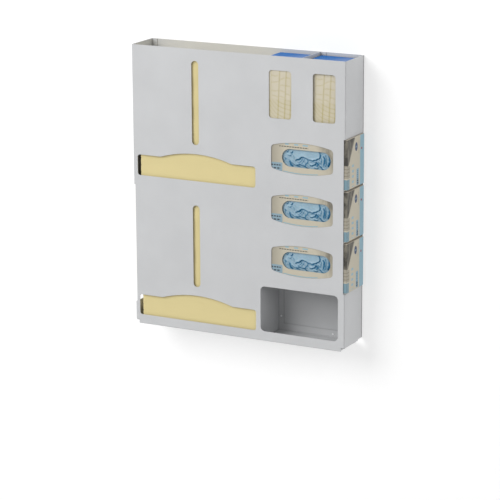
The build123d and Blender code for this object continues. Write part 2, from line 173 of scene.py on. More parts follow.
class MaskSettings(bpy.types.PropertyGroup):
    """Pleated masks in their upright cartons."""

    cloth: colour("Cloth", (0.615, 0.565, 0.445), "Cream non-woven cloth")
    # Also used for the painted shade in the creases and the darker cloth towards the bottom
    pleat_and_crease_shade: colour("Pleat", (0.50, 0.44, 0.24), "Yellower cloth along the pleats")
    carton: colour("Carton", (0.0, 0.125, 0.42), "Deep blue print of the mask cartons")
    # Painted sheen: the paler blue that the carton tops take towards the front right
    painted_sheen_blue: colour("Carton, pale", (0.14, 0.235, 0.48), "Paler blue of the print's other end")
    flap: colour("Flap", (0.66, 0.62, 0.52), "Unprinted front edge of the mask cartons")
    thickness: length("Board thickness", 1.0 * MM, "Thickness of the board")
    edge: length("Edge", 0.9 * MM, "Rounding of the carton's edges")
    opening_width: length("Opening width", 80.0 * MM, "Width of the carton's opening")
    opening_height: length("Opening height", 145.0 * MM, "Height of the carton's opening")
    opening_sill: length("Opening sill", 19.0 * MM, "Opening above the carton's bottom")
    pleat_step: length("Pleat step", 0.42 * MM, "Thickness of a pleat's folded edge")
    bulge: length("Bulge", 4.7 * MM, "How far the masks push into the carton's opening")


class GownSettings(bpy.types.PropertyGroup):
    """Folded non-woven gowns."""

    cloth: colour("Cloth", (0.715, 0.612, 0.312), "Pale yellow non-woven cloth")
    corner: length("Corner", 3.5 * MM, "Rounding of the stack's upright edges")
    gown_height: length("Folded gown", 16.0 * MM, "Height of one folded gown in the stack")
    groove: length("Groove", 1.4 * MM, "Depth of the seams between gowns at the stack's ends")


class StageSettings(bpy.types.PropertyGroup):
    """Wall, floor, lamps and camera."""

    azimuth: FloatProperty(name="Azimuth", default=27.47, description="Camera azimuth, degrees")
    elevation: FloatProperty(name="Elevation", default=14.59, description="Degrees above level")
    roll: FloatProperty(name="Roll", default=-0.28, description="Camera roll, degrees")
    lens: FloatProperty(name="Lens", default=163.94, description="Focal length, 36 mm sensor")
    distance: length("Distance", 5.692, "Camera to its target")
    target: FloatVectorProperty(
        name="Target",
        default=(0.0357, -0.1047, -0.2003),
        description="Point that the camera looks at",
        subtype="XYZ",
        unit="LENGTH",
    )
    floor_drop: length("Floor drop", 0.82, "Floor below the dispenser's underside")
    ambient: FloatProperty(name="Ambient", default=0.345, description="Strength of the room")
    glow: FloatProperty(name="Glow", default=0.53, description="Own light of the wall")
    key: FloatProperty(name="Key", default=222.0, description="Power of the key lamp", unit="POWER")
    key_size: length("Key size", 3.6, "Side of the square key lamp")
    fill: FloatProperty(name="Fill", default=23.0, description="Power of the fill", unit="POWER")


SETTINGS = {
    "dispenser_steel": SteelSettings,
    "dispenser_carton": CartonSettings,
    "dispenser_glove": GloveSettings,
    "dispenser_mask": MaskSettings,
    "dispenser_gown": GownSettings,
    "dispenser_stage": StageSettings,
}


# ---------------------------------------------------------------- shader shorthand
class Shader:
    """A material's node tree with short calls for the nodes used here."""

    MIX_COLOURS = (6, 7)  # the colour inputs A and B of a Mix node
    MIX_RESULT = 2  # its colour output

    def __init__(self, name):
        self.material = bpy.data.materials.new(name)
        self.material.use_nodes = True
        self.tree = self.material.node_tree
        self.surface = self.tree.nodes["Principled BSDF"]

    def add(self, kind, inputs=None, **settings):
        """New node; an input that is a socket is linked, and any other is set."""
        made = self.tree.nodes.new(kind)
        for key, value in settings.items():
            setattr(made, key, value)
        for key, value in (inputs or {}).items():
            self.put(made.inputs[key], value)
        return made

    def put(self, socket, value):
        if isinstance(value, bpy.types.NodeSocket):
            self.tree.links.new(value, socket)
        else:
            socket.default_value = value

    def set(self, **values):
        """Sets or links sockets of the surface, named with underscores for spaces."""
        for key, value in values.items():
            self.put(self.surface.inputs[key.replace("_", " ")], value)

    def math(self, operation, a, b=0.0, c=0.0):
        made = self.add("ShaderNodeMath", operation=operation)
        for socket, value in zip(made.inputs, (a, b, c)):
            self.put(socket, value)
        return made.outputs[0]

    def times(self, a, b):
        return self.math("MULTIPLY", a, b)

    def mix(self, amount, a, b):
        """Colour a where amount is 0 and b where it is 1."""
        made = self.add("ShaderNodeMix", {0: amount}, data_type="RGBA", clamp_factor=True)
        for index, paint in zip(self.MIX_COLOURS, (a, b)):
            linked = isinstance(paint, bpy.types.NodeSocket)
            self.put(made.inputs[index], paint if linked else (*paint, 1.0))
        return made.outputs[self.MIX_RESULT]

    def lay(self, under, over, where, strength=1.0):
        """Colour over laid on the colour under, where a mask is 1."""
        return self.mix(where if strength == 1.0 else self.times(where, strength), under, over)

    def span(self, value, low, high, out_low=0.0, out_high=1.0):
        """Maps low..high to out_low..out_high, held at the ends."""
        names = ("Value", "From Min", "From Max", "To Min", "To Max")
        inputs = dict(zip(names, (value, low, high, out_low, out_high)))
        return self.add("ShaderNodeMapRange", inputs).outputs[0]

    def place(self):
        """Object coordinates, which are the frame's own metres."""
        return self.add("ShaderNodeTexCoord").outputs["Object"]

    def noise(self, vector, scale, detail=2.0, roughness=0.5):
        made = self.add(
            "ShaderNodeTexNoise",
            {"Vector": vector, "Scale": scale, "Detail": detail, "Roughness": roughness},
        )
        return made.outputs["Fac"]

    def stretched(self, vector, scale):
        made = self.add("ShaderNodeMapping", {"Vector": vector, "Scale": scale})
        return made.outputs["Vector"]

    def attribute(self, name):
        return self.add("ShaderNodeAttribute", attribute_name=name).outputs["Fac"]

    def bump(self, height, distance, strength=1.0, under=None):
        inputs = {"Height": height, "Distance": distance, "Strength": strength}
        if under is not None:
            inputs["Normal"] = under
        return self.add("ShaderNodeBump", inputs).outputs["Normal"]

    def print_axes(self):
        """The two print coordinates of a carton face, in metres from its lower left corner."""
        uv = self.add("ShaderNodeUVMap", uv_map="print").outputs["UV"]
        split = self.add("ShaderNodeSeparateXYZ", {"Vector": uv})
        return split.outputs["X"], split.outputs["Y"]

    def field(self, u, v, middle, half):
        """1 inside the rectangle about middle, half its size each way, and 0 outside."""
        across = self.math("COMPARE", u, middle[0], half[0])
        return self.times(across, self.math("COMPARE", v, middle[1], half[1]))

    def reach(self, u, v, middle, half):
        """Distance from middle, where 1 lies on the ellipse of those half axes."""
        across = self.math("DIVIDE", self.math("SUBTRACT", u, middle[0]), half[0])
        up = self.math("DIVIDE", self.math("SUBTRACT", v, middle[1]), half[1])
        square = self.math("MULTIPLY_ADD", across, across, self.times(up, up))
        return self.math("SQRT", square)

    def dashes(self, along, pitch, share):
        """1 on the first share of every pitch along a coordinate, and 0 on the rest."""
        return self.math("LESS_THAN", self.math("FRACT", self.math("DIVIDE", along, pitch)), share)


# ---------------------------------------------------------------- surfaces
def ring(half_x, half_z, radius, per_quarter=8):
    """Rounded rectangle: at each angle, the centre of that quarter's corner arc plus the
    radius times the unit direction. Rings of the same count match point for point."""
    quarter = np.linspace(0.0, 1.0, per_quarter)
    angle = np.concatenate([quarter + turn for turn in range(4)]) * math.pi / 2
    side_x = np.repeat([1, -1, -1, 1], per_quarter)
    side_z = np.repeat([1, 1, -1, -1], per_quarter)
    x = side_x * (half_x - radius) + radius * np.cos(angle)
    z = side_z * (half_z - radius) + radius * np.sin(angle)
    return np.stack([x, z], axis=1)


def lofted(rings):
    """Skin through closed rings of equal count, with a fan to the middle of the first and
    last. Returns points (m, 3) and faces."""
    count, around = rings.shape[:2]
    step, turn = np.meshgrid(np.arange(count - 1), np.arange(around), indexing="ij")
    here = step * around + turn
    beside = step * around + (turn + 1) % around
    quads = np.stack([here, beside, beside + around, here + around], axis=-1).reshape(-1, 4)
    points = rings.reshape(-1, 3)
    caps = []
    for first, end in ((0, 0), ((count - 1) * around, 1)):
        centre = len(points) + end
        edge = first + np.arange(around)
        caps.append(np.stack([edge, np.roll(edge, -1), np.full(around, centre)], axis=1))
    middles = rings[[0, -1]].mean(axis=1)
    points = np.concatenate([points, middles])
    return points, quads.tolist() + caps[0].tolist() + caps[1].tolist()


def front_block(low, high, relief, columns, rows, rounding):
    """Closed block whose front is a grid: y is the front plane plus the height that
    relief(x, z) gives, and falls back over a quarter circle of the rounding radius along its
    four edges. Returns its points and faces, and the tone that relief gives each grid
    point."""
    across = np.linspace(low.x, high.x, columns)
    up = np.linspace(low.z, high.z, rows)
    x, z = np.meshgrid(across, up, indexing="ij")
    inset = np.minimum.reduce([x - low.x, high.x - x, z - low.z, high.z - z])
    rest = np.clip(1.0 - inset / rounding, 0.0, 1.0)
    height, tone = relief(x, z)
    y = low.y + height + rounding * (1.0 - np.sqrt(1.0 - rest**2))
    grid = np.arange(columns * rows).reshape(columns, rows)
    quads = np.stack([grid[:-1, :-1], grid[1:, :-1], grid[1:, 1:], grid[:-1, 1:]], axis=-1)
    border = np.concatenate([grid[:-1, 0], grid[-1, :-1], grid[:0:-1, -1], grid[0, :0:-1]])
    points = np.stack([x, y, z], axis=-1).reshape(-1, 3)
    back = points[border].copy()
    back[:, 1] = high.y
    behind = len(points) + np.arange(len(border))
    sides = np.stack([border, behind, np.roll(behind, -1), np.roll(border, -1)], axis=1)
    centre = np.full(len(border), len(points) + len(border))
    fan = np.stack([behind, centre, np.roll(behind, -1)], axis=1)
    middle = np.array([[(low.x + high.x) / 2, high.y, (low.z + high.z) / 2]])
    points = np.concatenate([points, back, middle])
    faces = quads.reshape(-1, 4).tolist() + sides.tolist() + fan.tolist()
    return (points, faces), tone


def curve_through(stops, count=80):
    """Smooth run through stops (k, 2): each coordinate is interpolated against distance
    along the stops, then averaged with its neighbours four times."""
    stops = np.asarray(stops, float)
    gone = np.concatenate([[0], np.cumsum(np.linalg.norm(np.diff(stops, axis=0), axis=1))])
    at = np.linspace(0, gone[-1], count)
    run = np.stack([np.interp(at, gone, stops[:, 0]), np.interp(at, gone, stops[:, 1])], axis=1)
    for _ in range(4):
        run[1:-1] = (run[:-2] + 2 * run[1:-1] + run[2:]) / 4
    return run


def side_of(run, x, z):
    """Signed distance of points from a run, positive to its left, and how far along it the
    nearest point is, from 0 to 1."""
    gap_x = x[..., None] - run[:, 0]
    gap_z = z[..., None] - run[:, 1]
    square = gap_x**2 + gap_z**2
    nearest = square.argmin(axis=-1)
    along = np.gradient(run, axis=0)[nearest]
    pick = nearest[..., None]
    near_x = np.take_along_axis(gap_x, pick, -1)[..., 0]
    near_z = np.take_along_axis(gap_z, pick, -1)[..., 0]
    side = np.sign(along[..., 0] * near_z - along[..., 1] * near_x)
    distance = np.sqrt(np.take_along_axis(square, pick, -1)[..., 0])
    return side * distance, nearest / (len(run) - 1)


def ripples(x, z, seed, wavelength, count=7, spread=math.pi, heading=0.0):
    """Sum of sine waves of random heading and phase about one wavelength, from -1 to 1."""
    chance = np.random.default_rng(seed)
    total = np.zeros_like(x)
    for _ in range(count):
        turn = heading + chance.uniform(-spread, spread) / 2
        size = wavelength * chance.uniform(0.7, 1.5)
        phase = chance.uniform(0, 2 * math.pi)
        total += np.sin((x * math.cos(turn) + z * math.sin(turn)) * 2 * math.pi / size + phase)
    return total / count


def make_piece(name, surface, materials, stands_for, smooth_angle=40.0):
    """Mesh object of a surface's points and faces, in the frame's axes, that rides on the
    body and stands for CAD nodes."""
    points, faces = surface
    mesh = bpy.data.meshes.new(name)
    mesh.from_pydata(points.tolist(), [], faces)
    for material in materials:
        mesh.materials.append(material)
    shape = bmesh.new()
    shape.from_mesh(mesh)
    bmesh.ops.recalc_face_normals(shape, faces=shape.faces)
    shape.to_mesh(mesh)
    shape.free()
    mesh.polygons.foreach_set("use_smooth", [True] * len(mesh.polygons))
    mesh.set_sharp_from_angle(angle=math.radians(smooth_angle))
    piece = bpy.data.objects.new(name, mesh)
    bpy.context.scene.collection.objects.link(piece)
    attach(piece, ROOT)
    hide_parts(*stands_for)
    return piece


def store(piece, name, values):
    """Keeps one number for each point of a piece; points past the values get 0."""
    held = piece.data.attributes.new(name, "FLOAT", "POINT")
    padded = np.zeros(len(piece.data.vertices), np.float32)
    padded[: values.size] = values.ravel()
    held.data.foreach_set("value", padded)


def lay_print(piece, low):
    """Gives each face its print coordinates, in metres from the carton's low corner: depth
    and height on the ends, width and depth on top and bottom, else width and height. Faces
    take material 0 at the front, 1 at the ends and 2 elsewhere."""
    mesh = piece.data
    normals = np.zeros(len(mesh.polygons) * 3)
    mesh.polygons.foreach_get("normal", normals)
    normals = normals.reshape(-1, 3)
    sides = np.abs(normals).argmax(axis=1)
    kind = np.select([(sides == 1) & (normals[:, 1] < 0), sides == 0], [0, 1], 2)
    mesh.polygons.foreach_set("material_index", kind)
    spot = np.zeros(len(mesh.vertices) * 3)
    mesh.vertices.foreach_get("co", spot)
    spot = spot.reshape(-1, 3) - np.array(low)
    corner = np.zeros(len(mesh.loops), int)
    mesh.loops.foreach_get("vertex_index", corner)
    sizes = np.zeros(len(mesh.polygons), int)
    mesh.polygons.foreach_get("loop_total", sizes)
    side = np.repeat(sides, sizes)
    u = np.where(side == 0, spot[corner, 1], spot[corner, 0])
    v = np.where(side == 2, spot[corner, 1], spot[corner, 2])
    mesh.uv_layers.new(name="print").data.foreach_set("uv", np.stack([u, v], axis=1).ravel())


def carton_rings(low, high, board, edge, hole, hole_middle):
    """Rings of a hollow carton, from the middle of its inner back, over its inner front and
    through the hole, then over its outer front and sides to the middle of its back."""
    middle = np.array([(low.x + high.x) / 2, (low.z + high.z) / 2])
    half = np.array([(high.x - low.x) / 2, (high.z - low.z) / 2])
    support = 2 * edge
    chamfer = board / 4
    made = []

    def add(y, shrink, radius):
        flat = ring(half[0] - shrink, half[1] - shrink, radius) + middle
        made.append(np.insert(flat, 1, y, axis=1))

    def add_hole(y, grow=0.0):
        flat = ring(hole[0] / 2 + grow, hole[1] / 2 + grow, hole[2] + grow) + hole_middle
        made.append(np.insert(flat, 1, y, axis=1))

    add(high.y - board, board + support, edge)
    add(high.y - board, board, edge)
    add(low.y + board, board, edge)
    add_hole(low.y + board)
    add_hole(low.y + chamfer)
    add_hole(low.y, chamfer)
    add(low.y, support, edge)
    for turn in np.linspace(0, math.pi / 2, 5):
        add(low.y + edge * (1 - math.cos(turn)), edge * (1 - math.sin(turn)), edge)
    add(low.y + support, 0.0, edge)
    add(high.y - support, 0.0, edge)
    for turn in np.linspace(0, math.pi / 2, 5):
        add(high.y - edge * (1 - math.sin(turn)), edge * (1 - math.cos(turn)), edge)
    add(high.y, support, edge)
    return np.array(made)

# ---------------------------------------------------------------- materials
BLACK = (0.0, 0.0, 0.0)
FIBRE = (0.18, 0.16, 0.12)


def tinted(paint, share):
    """Colour scaled in brightness and held at full."""
    return tuple(min(1.0, share * part) for part in paint)


def powder_coat(settings):
    """Fine orange-peel coat: a fine noise in the bump, and a broad one that mottles colour
    and gloss a little. Painted shade darkens it inside the housing; along the rounded bends,
    where the object normal points between two axes; and in corners and along flanges,
    where ambient occlusion finds little sky."""
    shader = Shader("powder_coat")
    coordinates = shader.add("ShaderNodeTexCoord").outputs
    place = coordinates["Object"]
    mottle = shader.noise(place, 9.0, 3.0)
    peel = shader.noise(place, 1.0 / settings.grain, 3.0, 0.55)
    dark, light = tinted(settings.coat, 0.975), tinted(settings.coat, 1.02)
    paint = shader.mix(shader.span(mottle, 0.35, 0.65), dark, light)

    # Painted shade along the rounded bends, where the object normal points between two axes
    facing = shader.add(
        "ShaderNodeVectorMath", {0: coordinates["Normal"]}, operation="ABSOLUTE"
    ).outputs[0]
    parts = shader.add("ShaderNodeSeparateXYZ", {"Vector": facing}).outputs
    largest = shader.math("MAXIMUM", shader.math("MAXIMUM", parts["X"], parts["Y"]), parts["Z"])
    paint = shader.mix(shader.span(largest, 0.99, 0.72, 0.0, 1.0 - settings.bend), paint, BLACK)

    # Painted shade inside the housing: the coat is darker behind the front face and between the
    # side walls
    spot = shader.add("ShaderNodeSeparateXYZ", {"Vector": place}).outputs
    within = shader.math("LESS_THAN", shader.math("ABSOLUTE", spot["X"]), -CAD_BOX[0].x - MM)
    behind = shader.math("GREATER_THAN", spot["Y"], CAD_BOX[0].y + MM)
    paint = shader.lay(paint, BLACK, shader.times(within, behind), 1.0 - settings.painted_inside_shade)

    # Painted shade in corners and along flanges, where ambient occlusion finds little sky
    sky = shader.add("ShaderNodeAmbientOcclusion", {"Distance": settings.corner_shade_reach}, samples=8)
    paint = shader.mix(shader.span(sky.outputs["AO"], 0.5, 0.97, 0.3, 0.0), paint, BLACK)
    glossy, dull = settings.roughness - 0.03, settings.roughness + 0.04
    shader.set(
        Base_Color=paint,
        Roughness=shader.span(mottle, 0.3, 0.7, glossy, dull),
        Normal=shader.bump(peel, 0.07 * MM, 0.6),
        Specular_IOR_Level=0.4,
    )
    return shader.material


def rivet_paint(settings):
    """Coated aluminium rivet head with fine scratches."""
    shader = Shader("rivet_paint")
    drawn_out = (900.0, 900.0, 60.0)
    scratch = shader.noise(shader.stretched(shader.place(), drawn_out), 3.0, 3.0)
    shader.set(
        Base_Color=shader.mix(scratch, tinted(settings.rivet, 0.93), settings.rivet),
        Roughness=shader.span(scratch, 0.3, 0.7, 0.34, 0.5),
        Metallic=0.15,
        Normal=shader.bump(scratch, 0.03 * MM),
    )
    return shader.material


def board_surface(shader, printed, sheen=0.42, gloss=0.4):
    """Coated carton board: fibre mottle over the print and soft waves in the sheet."""
    place = shader.place()
    fibre = shader.noise(place, 1400.0, 3.0, 0.6)
    wave = shader.noise(place, 38.0, 1.0)
    shader.set(
        Base_Color=shader.mix(shader.span(fibre, 0.25, 0.75, 0.0, 0.07), printed, FIBRE),
        Roughness=shader.span(fibre, 0.3, 0.7, sheen, sheen + 0.14),
        Normal=shader.bump(fibre, 0.03 * MM, under=shader.bump(wave, 1.2 * MM, 0.35)),
        Specular_IOR_Level=gloss,
    )
    return shader.material


# Marks of the print, laid in turn, in millimetres from the lower left corner of the face:
# middle, half size, cut, strength and colour. A mark is a rectangle; a cut of two numbers
# makes it dashes, by their pitch and the share of it that they fill, and "oval" an oval.
FRONT_MARKS = (
    ((72.6, 101), (5, 1.7), None, 1.0, "band"),
    ((98, 101), (5.6, 1.7), None, 1.0, "band"),
    ((122.8, 101), (7.4, 1.7), None, 1.0, "band"),
    ((91, 94.7), (39.5, 1.2), (7.2, 0.78), 0.9, "shade"),
    ((40.5, 42.5), (19.5, 10.5), None, 1.0, "label"),
    ((39.5, 46.5), (15.5, 1.8), (7.3, 0.72), 1.0, "ink"),
    ((39.5, 38.5), (15.5, 1.8), (9.1, 0.72), 1.0, "ink"),
)
END_MARKS = (
    ((-2, 44), (18, 15), None, 0.36, "shade"),
    ((0, 45), (14, 11), (8.5, 0.32), 0.35, "shade"),
    ((-3, 13.5), (16.5, 12.5), None, 1.0, "square"),
    ((33, 32), (5.5, 28), (13.2, 0.45), 0.95, "band"),
    ((60, 23.5), (6.5, 20.5), None, 1.0, "end_label"),
    ((60.5, 11), (4.2, 7.8), (5.8, 0.72), 1.0, "ink"),
    ((60.5, 31), (2.4, 10.5), (4.6, 0.6), 0.7, "ink"),
    ((66.5, 98), (1.1, 17), (3.1, 0.6), 0.55, "shade"),
    ((51.5, 100), (7.5, 10.8), "oval", 1.0, "disc"),
    ((51.5, 100), (5, 2.2), None, 0.6, "label"),
    ((100, 62), (26.5, 70), None, 1.0, "band"),
    ((83, 91), (3.4, 3), "oval", 1.0, "dot"),
)


def lay_marks(shader, settings, ground, across, up, along, marks):
    """A print with its marks laid over it. Dashes follow one another along a coordinate."""
    for middle, half, cut, strength, paint in marks:
        middle, half = ([MM * part for part in pair] for pair in (middle, half))
        if cut == "oval":
            where = shader.math("LESS_THAN", shader.reach(across, up, middle, half), 1.0)
        else:
            where = shader.field(across, up, middle, half)
            if cut:
                pitch, share = cut
                where = shader.times(shader.dashes(along, pitch * MM, share), where)
        ground = shader.lay(ground, getattr(settings, paint), where, strength)
    return ground


def streaks(shader, scale, low, high):
    """Uneven drawn-out shading from low to high, stretched by scale."""
    grain = shader.noise(shader.stretched(shader.place(), scale), 1.0, 4.0, 0.6)
    return shader.span(grain, 0.38, 0.62, low, high)


def end_design(shader, settings, t, v):
    """Print of a carton's end, t metres behind its front edge and v above its bottom: a dark
    streaked wedge above, whose slanting side is where t is a share of v less a start, and
    below it the marks, with a teal band along the back."""
    slope, start, soft = 0.57, 0.0245, 6 * MM
    wedge = shader.math("SUBTRACT", shader.math("MULTIPLY_ADD", v, slope, -start), t)
    above = shader.span(v, 0.058, 0.062)
    dark = shader.times(shader.span(wedge, 0.0, soft), above)
    dark = shader.times(dark, streaks(shader, (60.0, 110.0, 34.0), 0.7, 1.0))
    ground = shader.mix(dark, settings.board, tinted(settings.shade, 0.55))
    return lay_marks(shader, settings, ground, t, v, v, END_MARKS)


def front_print(settings, width):
    """Carton front: beige field with painted shade beside the left edge of the housing's
    window and darker printed streaks at its right end, a narrow teal arc below the opening,
    the marks, and the end's print carried round the edge."""
    shader = Shader("glove_carton_front")
    u, v = shader.print_axes()
    shade = settings.shade
    # Painted shade from the window's left edge, fading to the right
    ground = shader.mix(shader.span(u, 0.028, 0.068, 0.42, 0.0), settings.board, shade)
    right = shader.span(shader.math("MULTIPLY_ADD", v, 0.30, u), 0.180, 0.212)
    far = shader.times(right, shader.span(v, 0.030, 0.085, 0.3, 1.0))
    streak = streaks(shader, (90.0, 60.0, 26.0), 0.3, 0.75)
    ground = shader.lay(ground, shade, shader.times(far, streak))

    radius, half_width = 0.36, 0.0028
    circle = shader.reach(u, v, (0.113, 0.3893), (radius, radius))
    arc = shader.math("COMPARE", circle, 1.0, half_width)
    arc = shader.times(arc, shader.field(u, v, (0.110, 0.03), (0.047, 0.02)))
    ground = shader.lay(ground, settings.band, arc)
    ground = lay_marks(shader, settings, ground, u, v, u, FRONT_MARKS)

    t = shader.math("SUBTRACT", u, width)
    wrapped = shader.math("GREATER_THAN", t, -0.0125)
    return board_surface(shader, shader.lay(ground, end_design(shader, settings, t, v), wrapped))


def end_print(settings):
    """Carton end: the end's print by depth and height."""
    shader = Shader("glove_carton_end")
    return board_surface(shader, end_design(shader, settings, *shader.print_axes()))


def blue_top(settings, size):
    """Top of a mask carton: dark blue print that a painted sheen pales towards the front
    right, and the board's bare cut along the front edge."""
    shader = Shader("mask_carton_blue")
    u, v = shader.print_axes()
    cloud = shader.noise(shader.place(), 11.0, 2.0)
    across = shader.math("DIVIDE", u, size.x)
    forward = shader.math("SUBTRACT", 1.0, shader.math("DIVIDE", v, size.y))
    run = shader.math("MULTIPLY_ADD", across, 0.75, shader.times(forward, 0.35))
    run = shader.math("MULTIPLY_ADD", cloud, 0.2, run)
    # Painted sheen: the print pales towards the front right
    ground = shader.mix(shader.span(run, 0.5, 0.95), settings.carton, settings.painted_sheen_blue)
    cut = shader.math("LESS_THAN", v, 2.2 * MM)
    return board_surface(shader, shader.lay(ground, settings.flap, cut), 0.5, 0.15)


def plain_board(name, paint, sheen=0.42):
    """Board printed in one colour that varies a little across the sheet."""
    shader = Shader(name)
    cloud = shader.noise(shader.place(), 14.0, 2.0)
    paler = tuple(min(1.0, part * 1.12 + 0.005) for part in paint)
    return board_surface(shader, shader.mix(cloud, paint, paler), sheen)


def glove_film(settings):
    """Thin film: pale where one layer lies, and dark blue where the fold attribute is high,
    which marks overlapping layers and painted shade in the creases and wrinkles.
    """
    shader = Shader("glove_film")
    place = shader.place()
    fold = shader.attribute("fold")
    cloud = shader.noise(place, 90.0, 3.0)
    amount = shader.math("ADD", fold, shader.span(cloud, 0.35, 0.7, -0.04, 0.12))
    fine = shader.noise(place, 700.0, 3.0)
    shader.set(
        Base_Color=shader.mix(amount, settings.film, settings.overlap_and_crease_shade),
        Roughness=shader.span(fine, 0.3, 0.7, 0.36, 0.5),
        Normal=shader.bump(fine, 0.05 * MM),
        Subsurface_Weight=0.1,
        Subsurface_Radius=(0.4 * MM, 1.2 * MM, 2 * MM),
        Specular_IOR_Level=0.45,
    )
    return shader.material


def non_woven(name, cloth, other, attribute, dot=1.1 * MM):
    """Bonded fibre cloth: embossed dots over drawn-out fibres. The dots are the product of
    two sine waves along the diagonals, a dot's size apart."""
    shader = Shader(name)
    place = shader.place()
    spot = shader.add("ShaderNodeSeparateXYZ", {"Vector": place}).outputs
    along = shader.math("ADD", spot["X"], spot["Y"])
    waves = []
    for way in ("ADD", "SUBTRACT"):
        diagonal = shader.math(way, along, spot["Z"])
        waves.append(shader.math("SINE", shader.times(diagonal, math.pi / dot)))
    dots = shader.span(shader.times(*waves), 0.35, 0.8)
    fibre = shader.noise(shader.stretched(place, (500.0, 500.0, 1600.0)), 1.0, 4.0, 0.65)
    cloud = shader.span(shader.noise(place, 24.0, 3.0), 0.3, 0.7, -0.05, 0.1)
    tone = shader.math("ADD", shader.attribute(attribute), cloud)
    height = shader.math("SUBTRACT", fibre, shader.times(dots, 0.8))
    shader.set(
        Base_Color=shader.mix(tone, cloth, other),
        Roughness=shader.span(fibre, 0.2, 0.8, 0.72, 0.92),
        Normal=shader.bump(height, 0.06 * MM, 0.7),
        Sheen_Weight=0.15,
        Sheen_Roughness=0.5,
        Specular_IOR_Level=0.25,
    )
    return shader.material



# ---------------------------------------------------------------- operators
class DISPENSER_OT_steel(bpy.types.Operator):
    """Powder-coat the folded steel and paint its rivets"""

    bl_idname = "dispenser.steel"
    bl_label = "Steelwork"

    def execute(self, context):
        settings = context.scene.dispenser_steel
        coat = powder_coat(settings)
        paint = rivet_paint(settings)
        for names, material in ((STEEL_NODES, coat), (RIVET_NODES, paint)):
            for name in names:
                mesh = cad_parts[name].data
                mesh.materials.clear()
                mesh.materials.append(material)
        return {"FINISHED"}


class DISPENSER_OT_glove_cartons(bpy.types.Operator):
    """Build the printed glove cartons with their oval openings"""

    bl_idname = "dispenser.glove_cartons"
    bl_label = "Glove cartons"

    def execute(self, context):
        settings = context.scene.dispenser_carton
        low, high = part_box("glove_carton_1")
        size = high - low
        materials = (
            front_print(settings, size.x),
            end_print(settings),
            plain_board("carton_bare", settings.bare, 0.6),
        )
        hole = (settings.oval_length, settings.oval_height, settings.oval_height / 2)
        for row in GLOVE_ROWS:
            node = f"glove_carton_{row}"
            low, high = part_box(node)
            middle = oval_middle(low, high, settings)
            rings = carton_rings(low, high, settings.thickness, settings.edge, hole, middle)
            surface = lofted(rings)
            piece = make_piece(f"printed_{node}", surface, materials, (node,))
            lay_print(piece, low)
        return {"FINISHED"}


def oval_middle(low, high, carton):
    """Middle of the opening of the glove carton from low to high, across and up."""
    across = (low.x + high.x) / 2 + carton.oval_shift
    return np.array([across, (low.z + high.z) / 2 + carton.oval_rise])


# Stops of the long fold that runs across a glove carton's opening, from left to right
LONG_FOLD = (
    (-27, -3), (-19, 2), (-9, 5), (-2, 2), (5, 0), (14, -2),
    (24, 0), (32, 5), (36, 11), (35, 17), (31, 21),
)

# Folds in a glove carton's opening, in millimetres from its middle: stops, strength and width
GLOVE_FOLDS = (
    (LONG_FOLD, 1.0, 1.1),
    (((-33, -7), (-22, -1), (-13, 4)), 0.9, 1.2),
    (((-9, 2), (-15, -6), (-21, -13)), 0.6, 0.9),
    (((-5, 2), (-9, -7), (-15, -15)), 0.5, 0.8),
    (((2, 0), (4, -5), (0, -10), (-2, -14), (-1, -19), (4, -22)), 0.9, 1.0),
    (((-48, -7), (-44, -11), (-43, -17), (-37, -21)), 1.0, 1.3),
    (((-43, -12), (-35, -15), (-26, -18), (-17, -20)), 0.8, 0.9),
    (((-27, -16), (-17, -14), (-6, -17), (2, -20)), 0.8, 1.1),
    (((7, -14), (16, -14), (23, -9), (27, -3)), 1.0, 1.3),
    (((26, -4), (31, -10), (28, -16)), 0.9, 2.0),
    (((7, -5), (15, -6), (22, -4)), 0.4, 0.8),
    (((45, 13), (49, 5), (49, -5), (45, -16)), 1.0, 1.4),
    (((51, 16), (54, 4), (53, -9), (49, -17)), 0.7, 1.0),
    (((58, 18), (63, 10), (64, -2), (60, -16)), 0.9, 1.5),
    (((56, -14), (61, -6), (65, 0)), 0.8, 2.4),
    (((34, -11), (43, -20), (52, -21)), 0.8, 1.2),
    (((37, 9), (41, 1), (39, -9)), 0.7, 1.0),
    (((-57, 12), (-53, 15), (-50, 17)), 0.7, 1.1),
    (((-45, 13), (-42, 14), (-39, 18)), 0.8, 1.2),
    (((-52, 7), (-46, 6), (-41, 9)), 0.5, 0.8),
    (((-61, 0), (-57, -4), (-59, -11)), 0.5, 0.9),
    (((-38, 6), (-33, 3), (-35, -4)), 0.5, 0.8),
    (((19, -19), (26, -20), (33, -19)), 0.6, 1.0),
)


class DISPENSER_OT_gloves(bpy.types.Operator):
    """Build the crumpled gloves that show in the cartons' openings"""

    bl_idname = "dispenser.gloves"
    bl_label = "Gloves"

    def execute(self, context):
        settings = context.scene.dispenser_glove
        carton = context.scene.dispenser_carton
        film = glove_film(settings)
        for row in GLOVE_ROWS:
            node = f"glove_bundle_{row}"
            low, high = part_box(node)
            across, up = oval_middle(*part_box(f"glove_carton_{row}"), carton)

            def relief(x, z):
                return glove_relief(x - across, z - up, row, settings.fold_depth)

            columns, rows = settings.columns, settings.rows
            surface, fold = front_block(low, high, relief, columns, rows, 6 * MM)
            piece = make_piece(
                f"folded_gloves_{row}", surface, (film,), (node,), 70.0
            )
            store(piece, "fold", fold)
        return {"FINISHED"}


